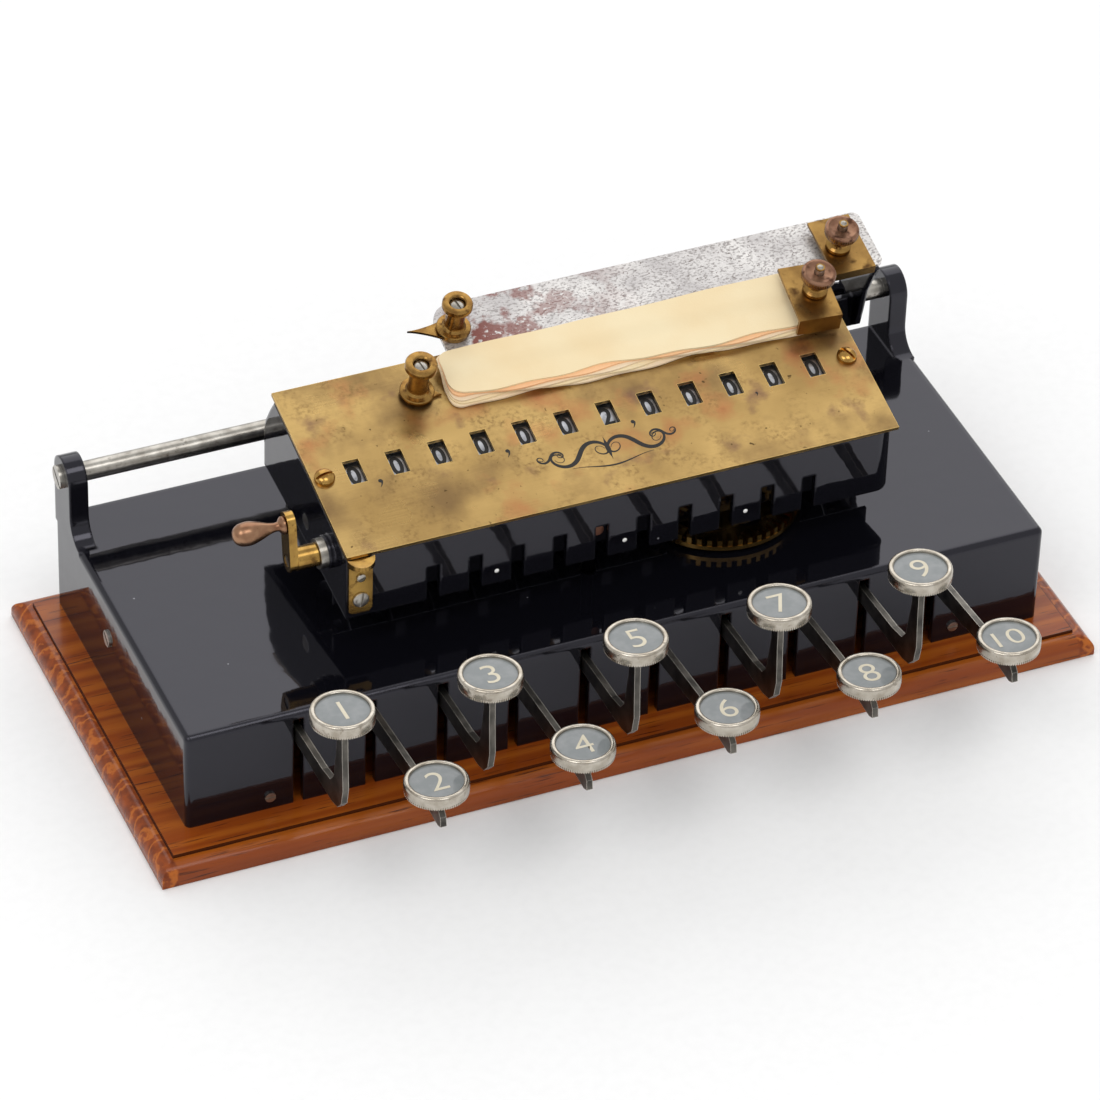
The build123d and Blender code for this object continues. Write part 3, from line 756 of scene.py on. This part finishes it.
def note_knob(name, place):
    """Waisted knob with a knurled flange; the steel end of its stud stands in its top."""
    waist = smooth_outline([(3.25, 1.1), (2.4, 1.9), (2.1, 3.1), (2.5, 4.3), (4.0, 5.0)])
    flange = [(4.3, 5.2), (4.42, 5.5), (4.42, 6.9), (4.2, 7.25), (3.6, 7.4), (3.1, 7.2), (1.35, 7.15)]
    built = lathe([(1.28, 0.0), (3.0, 0.0), (3.25, 0.25), *waist, *flange, (1.28, 0.0)])
    bmesh.ops.transform(built, matrix=place, verts=built.verts)
    add_mesh(built, knurl, place @ Matrix.Translation(mm(0, 0, 6.2)))
    piece = to_object(name + "_turned", built, knob_bronze, name)
    piece.data.materials.append(post_brass)
    to_knob = place.inverted()
    for polygon in piece.data.polygons:
        middle = to_knob @ polygon.center
        if middle.z < 4.4 * MM and middle.xy.length > 1.5 * MM:
            polygon.material_index = 1
    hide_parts(name)
    tip = lathe([(0.0, 6.9), (1.26, 6.9), (1.26, 8.6), (1.1, 9.05), (0.6, 9.3), (0.0, 9.35)], 32)
    bmesh.ops.transform(tip, matrix=place, verts=tip.verts)
    to_object(name + "_stud_end", tip, bare_steel, "carriage")


post_brass = metal("browned_post_brass", "#A27E45", "#7F5D32", "#573A22", 0.22, 0.56, 2.5)
knob_bronze = metal("browned_knob_brass", "#93705A", "#775443", "#54392D", 0.36, 0.55, 2.5)
note_knob("rear_knob", on_cover(154.0, 54.5, 6.1))
note_knob("front_knob", on_cover(142.0, 42.0, 7.0))


def note_post(name, base, high, flange):
    """Turned post: stepped base, neck and a thick ring round the screw's recess."""
    u, v, _ = POST_PLACES[name]
    outline = [(0.0, 0.0), (4.25, 0.0), (4.4, 0.15), (4.4, 0.7), (4.2, 0.95), (3.1, 1.15)]
    outline += smooth_outline([(3.0, 1.3), (2.6, 2.0), (2.5, 3.2)])
    outline += smooth_outline([(2.5, high - 3.2), (2.75, high - 2.4), (flange - 0.3, high - 2.0)])
    outline += [(flange, high - 1.7), (flange, high - 0.5)]
    outline += [(flange - 0.25, high - 0.12), (flange - 0.8, high)]
    outline += [(2.3, high - 0.05), (2.02, high - 0.3), (2.0, high - 1.8), (0.0, high - 1.8)]
    built = lathe(outline)
    bmesh.ops.transform(built, matrix=on_cover(u, v, base), verts=built.verts)
    piece = to_object(name + "_turned", built, post_brass, "carriage")
    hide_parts(name)


note_post("front_post", 1.0, 11.4, 4.1)
note_post("rear_post", 4.1, 10.3, 3.9)


def note_pointer(name, u, v, h, length, half, turn):
    """Flat brass pointer with hollow sides and a round eye for its post's pin."""
    built = bmesh.new()
    rim = []
    for k in range(33):
        a = math.radians(40 + 280 * k / 32)
        rim.append((half * math.cos(a), half * math.sin(a)))
    for k in range(1, 12):
        t = k / 12
        rim.append((half * 0.77 + (length - half * 0.77) * t, -half * 0.64 * (1 - t) ** 1.5))
    rim.append((length, 0.0))
    for k in range(11, 0, -1):
        t = k / 12
        rim.append((half * 0.77 + (length - half * 0.77) * t, half * 0.64 * (1 - t) ** 1.5))
    levels = [[built.verts.new(mm(x, y, z)) for x, y in rim] for z in (0.0, 0.75)]
    for k in range(len(rim)):
        n = (k + 1) % len(rim)
        built.faces.new((levels[0][k], levels[0][n], levels[1][n], levels[1][k]))
    built.faces.new(levels[1])
    built.faces.new(levels[0][::-1])
    bmesh.ops.recalc_face_normals(built, faces=built.faces)
    place = on_cover(u, v, h) @ Matrix.Rotation(math.radians(turn), 4, "Z")
    bmesh.ops.transform(built, matrix=place, verts=built.verts)
    piece = to_object(name + "_blade", built, post_brass, name)
    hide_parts(name)


note_pointer("rear_pointer", 49.7, 57.7, 3.1, 11.7, 4.1, 168.0)
note_pointer("front_pointer", 34.7, 43.3, 0.1, 6.3, 3.6, -20.0)


def crank_handle():
    """Pear-shaped bronze grip behind a round collar, leaning with the crank."""
    pin = [(0.0, -2.05), (1.0, -2.05), (1.0, 0.05)]
    collar = [(2.1, 0.05), (2.3, 0.25), (2.3, 0.7), (2.0, 1.1), (1.5, 1.4)]
    pear = [(1.2, 1.7), (1.15, 2.6), (1.5, 4.2), (2.3, 6.4), (2.92, 8.6)]
    pear += [(3.0, 10.2), (2.7, 11.8), (1.9, 12.9), (0.9, 13.4)]
    built = lathe([*pin, *collar, *smooth_outline(pear), (0.0, 13.5)])
    low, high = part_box("crank_handle")
    middle = (low + high) / 2
    place = Matrix.Translation((high.x - 2.1 * MM, middle.y, middle.z))
    place = place @ Matrix.Rotation(-math.pi / 2, 4, "Y")
    bmesh.ops.transform(built, matrix=place, verts=built.verts)
    piece = to_object("crank_grip", built, hand_bronze, "crank")
    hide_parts("crank_handle")


crank_handle()


# ------------------------------------------------------------------ number wheels
WHEEL_R = 14.4
DIGIT_LIFT = 0.03
digit_meshes = [glyph(str(k), 5.9, 3.2, 0.03) for k in range(10)]


def wheel_digits(number, shown):
    """Ten engraved numerals round a drum, with the shown one under its window."""
    wheel = f"number_wheel_{number:02d}"
    axle = box_middle(wheel)
    drum_x = plate_corner.x + WHEEL_PITCH * number * MM
    built = bmesh.new()
    for k, mesh in enumerate(digit_meshes):
        piece = bmesh.new()
        piece.from_mesh(mesh)
        bmesh.ops.triangulate(piece, faces=piece.faces)
        bmesh.ops.subdivide_edges(piece, edges=piece.edges, cuts=3, use_grid_fill=True)
        turn = PLATE_TILT + math.radians(36) * (k - shown)
        for v in piece.verts:
            angle = turn - v.co.y / (WHEEL_R * MM)
            radius = (WHEEL_R + DIGIT_LIFT) * MM
            x = drum_x + v.co.x
            v.co = Vector((x, axle.y - radius * math.sin(angle), axle.z + radius * math.cos(angle)))
        bent = as_mesh(piece)
        built.from_mesh(bent)
        bpy.data.meshes.remove(bent)
    body = f"wheel_{number:02d}"
    to_object(f"{body}_digits", built, black_wax, body, smooth=False)


for number in range(1, WHEEL_COUNT + 1):
    wheel_digits(number, 2 if number == 7 else 0)


# ------------------------------------------------------------------ engraving
def ribbon(built, points, widths, lift):
    """Flat stroke on the cover plate along (u, v) points, with a width at each."""
    left, right = [], []
    for k, (u, v) in enumerate(points):
        before = Vector(points[max(k - 1, 0)])
        after = Vector(points[min(k + 1, len(points) - 1)])
        along = (after - before).normalized()
        side = Vector((-along.y, along.x)) * widths[k] / 2
        left.append(built.verts.new(cover_frame @ mm(u + side.x, v + side.y, lift)))
        right.append(built.verts.new(cover_frame @ mm(u - side.x, v - side.y, lift)))
    for k in range(len(points) - 1):
        built.faces.new((right[k], right[k + 1], left[k + 1], left[k]))


def double_scroll(built, u, v, side, size, thick, lift):
    """S-shaped scroll: a curve whose bend grows steadily from its middle to both ends."""
    steps, reach = 140, 2.35
    points = [(0.0, 0.0)]
    for k in range(steps):
        t = reach * (k + 0.5) / steps
        bend = math.pi * t * t / 2 - math.radians(45)
        x, y = points[-1]
        points.append((x + math.cos(bend) * reach / steps, y + math.sin(bend) * reach / steps))
    whole = [(-x, -y) for x, y in points[:0:-1]] + points
    line = [(u + side * size * (x + 0.25 * y), v + size * y) for x, y in whole]
    ribbon(built, line[::side], swell(len(line), 0.16, thick), lift)


def swell(count, thin, thick):
    """Widths of a pen stroke: thin ends and a thick middle."""
    return [thin + (thick - thin) * math.sin(math.pi * k / (count - 1)) ** 2 for k in range(count)]


def ornament(built, u, v):
    """Two large and two small scrolls, mirrored about a spearhead, over a fine line."""
    for side in (-1, 1):
        double_scroll(built, u + side * 7.6, v, side, 8.0, 1.25, 0.020)
        double_scroll(built, u + side * 15.2, v + 1.0, side, 3.6, 0.7, 0.026)
    spear = [(u, v - 3.6 + 7.2 * k / 29) for k in range(30)]
    ribbon(built, spear, swell(30, 0.1, 1.3), 0.032)
    under = [(u - 11.0 + 22.0 * k / 59, v - 4.6 + 0.8 * math.cos(math.pi * k / 29.5)) for k in range(60)]
    ribbon(built, under, swell(60, 0.1, 0.45), 0.036)


def engraving():
    """The ornament, and the marks between groups of three windows."""
    built = bmesh.new()
    ornament(built, 74.8, 14.2)
    for after, size in ((1, 1.0), (4, 1.0), (7, 1.0), (10, 0.55)):
        u = WHEEL_PITCH * (after + 0.45)
        r = 0.55 * size
        dot = []
        for k in range(16):
            a = 2 * math.pi * k / 16
            at = cover_frame @ mm(u + r * math.cos(a), 20.2 + r * math.sin(a), 0.03)
            dot.append(built.verts.new(at))
        built.faces.new(dot)
        tail = []
        for k in range(12):
            t = k / 11
            tail.append((u + 0.35 * size - 0.9 * size * t * t, 20.2 - 1.9 * size * t))
        ribbon(built, tail, [r * (1 - k / 11) + 0.08 for k in range(12)], 0.026)
    to_object("cover_engraving", built, black_wax, "carriage", smooth=False)


engraving()


# ------------------------------------------------------------------ index dots
def index_dots():
    """Three white dots let into the housing's front wall."""
    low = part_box("carriage_housing")[0]
    built = bmesh.new()
    for x, z in ((-27.0, 47.8), (7.4, 47.8), (40.3, 47.8)):
        dot = lathe([(0.0, 0.18), (0.35, 0.15), (0.6, 0.02), (0.65, -0.1), (0.0, -0.1)], 24)
        place = Matrix.Translation((x * MM, low.y, z * MM)) @ Matrix.Rotation(math.pi / 2, 4, "X")
        add_mesh(built, as_mesh(dot), place)
    to_object("index_dots", built, white_enamel, "carriage")


index_dots()


# ------------------------------------------------------------------ paper
def paper_sheet(name, level, count, left, jut, phase, material):
    """One slip of the pad: wavy front edge, rounded left end, lifted over the note plate."""
    built = bmesh.new()
    across, along = 22, 150
    right_end = 147.0
    thin = 0.8 / count
    tops, bottoms = [], []
    for i in range(along + 1):
        u = left + (right_end - left) * (i / along) ** 1.15
        share = (u - left) / (right_end - left)
        ripple = 0.55 * math.sin(u * 0.13 + phase) + 0.35 * math.sin(u * 0.31 + phase * 2.3)
        ripple *= 1 - share**6
        front = 38.3 - 3.2 * share - jut * (1 - 0.8 * share) + ripple
        back = 51.4 + 0.9 * share + 0.12 * math.sin(u * 0.2 + phase)
        corner = 3.2
        if u - left < corner:
            cut = corner - math.sqrt(max(corner**2 - (corner - (u - left)) ** 2, 0.0))
            front += cut
            back -= cut * 0.8
        top_row, bottom_row = [], []
        for j in range(across + 1):
            v = front + (back - front) * j / across
            climb = min(max((v - 42.0) / 5.2, 0.0), 1.0)
            climb = climb * climb * (3 - 2 * climb)
            bottom = (0.12 + 2.85 * level / count) * (1 - climb) + (3.05 + thin * level) * climb
            thick = (2.7 / count) * (1 - climb) + thin * 0.95 * climb
            curl = 0.16 * math.sin(u * 0.09 + phase) * (1 - share**4) * level / count
            top_row.append(built.verts.new(cover_frame @ mm(u, v, bottom + thick + curl)))
            bottom_row.append(built.verts.new(cover_frame @ mm(u, v, bottom + curl)))
        tops.append(top_row)
        bottoms.append(bottom_row)
    for i in range(along):
        for j in range(across):
            built.faces.new((tops[i][j], tops[i + 1][j], tops[i + 1][j + 1], tops[i][j + 1]))
            built.faces.new((bottoms[i][j], bottoms[i][j + 1], bottoms[i + 1][j + 1], bottoms[i + 1][j]))
        for j in (0, across):
            built.faces.new((tops[i][j], bottoms[i][j], bottoms[i + 1][j], tops[i + 1][j]))
    for i in (0, along):
        for j in range(across):
            built.faces.new((tops[i][j], tops[i][j + 1], bottoms[i][j + 1], bottoms[i][j]))
    bmesh.ops.recalc_face_normals(built, faces=built.faces)
    return to_object(name, built, material, "carriage", angle=50)


sheet_looks = (white_paper, cream_paper, white_paper, pink_paper, cream_paper)
for level, look in enumerate(sheet_looks):
    jut = (2.3, 1.9, 1.5, 0.95, 0.0)[level]
    slip = paper_sheet(f"paper_slip_{level + 1}", level, 5, 41.9 + 0.15 * level, jut, 0.8 * level, look)
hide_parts("paper_pad")


# ------------------------------------------------------------------ floor, light, camera
def floor():
    built = bmesh.new()
    bmesh.ops.create_grid(built, x_segments=1, y_segments=1, size=6.0)
    mesh = as_mesh(built, "floor")
    ground = bpy.data.objects.new("floor", mesh)
    ground.location.z = cad_low.z - 0.0002
    bpy.context.scene.collection.objects.link(ground)
    mesh.materials.append(plain("white_paper_sweep", "#F4F4F4", "#F2F2F2", 0.9))


def softbox(name, azimuth, elevation, distance, size, radiance):
    """Square area light aimed at the machine, given as the brightness of its face."""
    data = bpy.data.lights.new(name, "AREA")
    data.shape = "SQUARE"
    data.size = size
    data.energy = radiance * math.pi * size * size
    lamp = bpy.data.objects.new(name, data)
    a, e = math.radians(azimuth), math.radians(elevation)
    away = Vector((math.sin(a) * math.cos(e), -math.cos(a) * math.cos(e), math.sin(e)))
    lamp.location = away * distance
    lamp.rotation_mode = "QUATERNION"
    lamp.rotation_quaternion = away.to_track_quat("Z", "Y")
    bpy.context.scene.collection.objects.link(lamp)


def studio():
    world = bpy.data.worlds.new("studio")
    world.use_nodes = True
    world.node_tree.nodes["Background"].inputs["Color"].default_value = (1, 1, 1, 1)
    world.node_tree.nodes["Background"].inputs["Strength"].default_value = 0.75
    bpy.context.scene.world = world
    softbox("back_softbox", 156, 42, 2.2, 2.0, 1.1)
    softbox("left_softbox", -60, 50, 2.2, 1.0, 3.0)
    softbox("front_softbox", 10, 62, 2.4, 0.9, 3.0)


def camera():
    """Long lens, looking down on the keys from the front left, rolled by two degrees."""
    azimuth, elevation, roll = (math.radians(x) for x in (23.964, 38.633, 2.006))
    distance = 1593.2
    target = mm(-6.96, -12.2, 38.8)
    level = math.cos(elevation)
    back = Vector((-math.sin(azimuth) * level, -math.cos(azimuth) * level, math.sin(elevation)))
    right = Vector((math.cos(azimuth), -math.sin(azimuth), 0))
    up = back.cross(right)
    turned_right = right * math.cos(roll) + up * math.sin(roll)
    turned_up = up * math.cos(roll) - right * math.sin(roll)
    data = bpy.data.cameras.new("camera")
    data.lens = 208.3
    data.sensor_width = 36.0
    eye = bpy.data.objects.new("camera", data)
    aim = Matrix((turned_right, turned_up, back)).transposed().to_4x4()
    eye.matrix_world = Matrix.Translation(target + back * distance * MM) @ aim
    bpy.context.scene.collection.objects.link(eye)
    bpy.context.scene.camera = eye


floor()
studio()
camera()
bpy.context.scene.view_settings.view_transform = "Standard"
